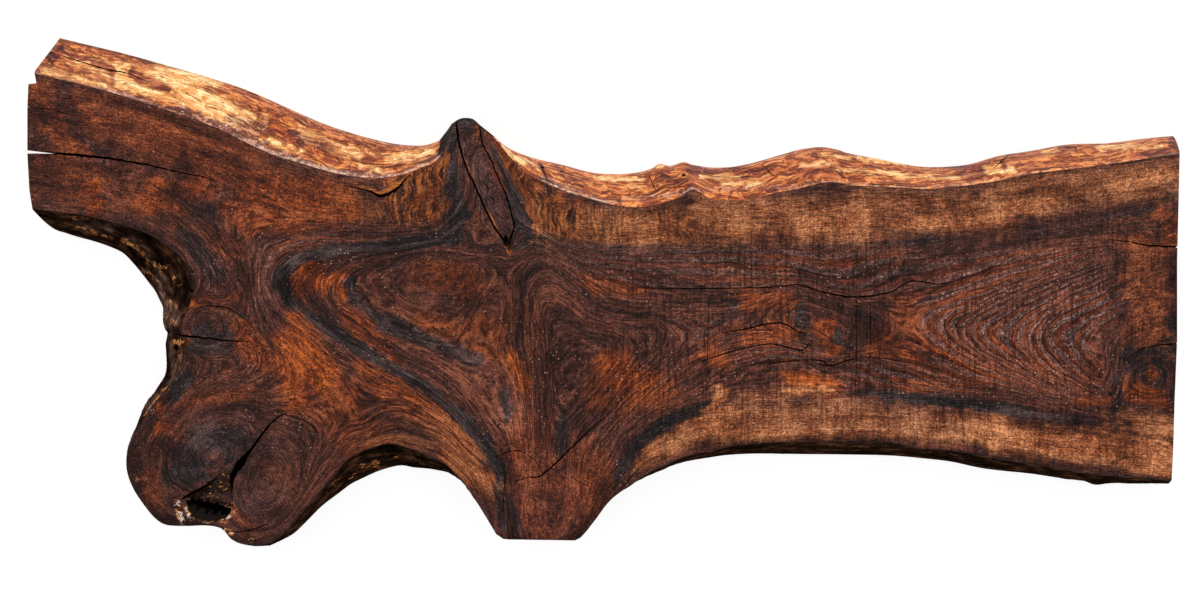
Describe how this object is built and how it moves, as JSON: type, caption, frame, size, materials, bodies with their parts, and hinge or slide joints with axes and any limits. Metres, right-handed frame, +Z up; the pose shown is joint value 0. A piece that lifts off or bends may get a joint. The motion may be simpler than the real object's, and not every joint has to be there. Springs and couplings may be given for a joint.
{
  "type": "live-edge walnut slab",
  "caption": "Thick live-edge wood slab with sawn faces, sawn ends, a short sawn foot, a knotted root end, waney edges, a pointed branch stub and drying cracks.",
  "frame": {"origin": "middle of the slab's footprint, on the flat back face that it lies on", "axes": "+X along the slab, from the knotted root end to the plain sawn end; +Y towards the edge with the branch stub; +Z up, out of the front face"},
  "size_m": [1.3266, 0.6006, 0.06],
  "materials": {
    "walnut": "oiled, satin, dark reddish brown heartwood with golden sapwood"
  },
  "bodies": {
    "root": {"walnut_slab": "walnut"}
  },
  "joints": []
}
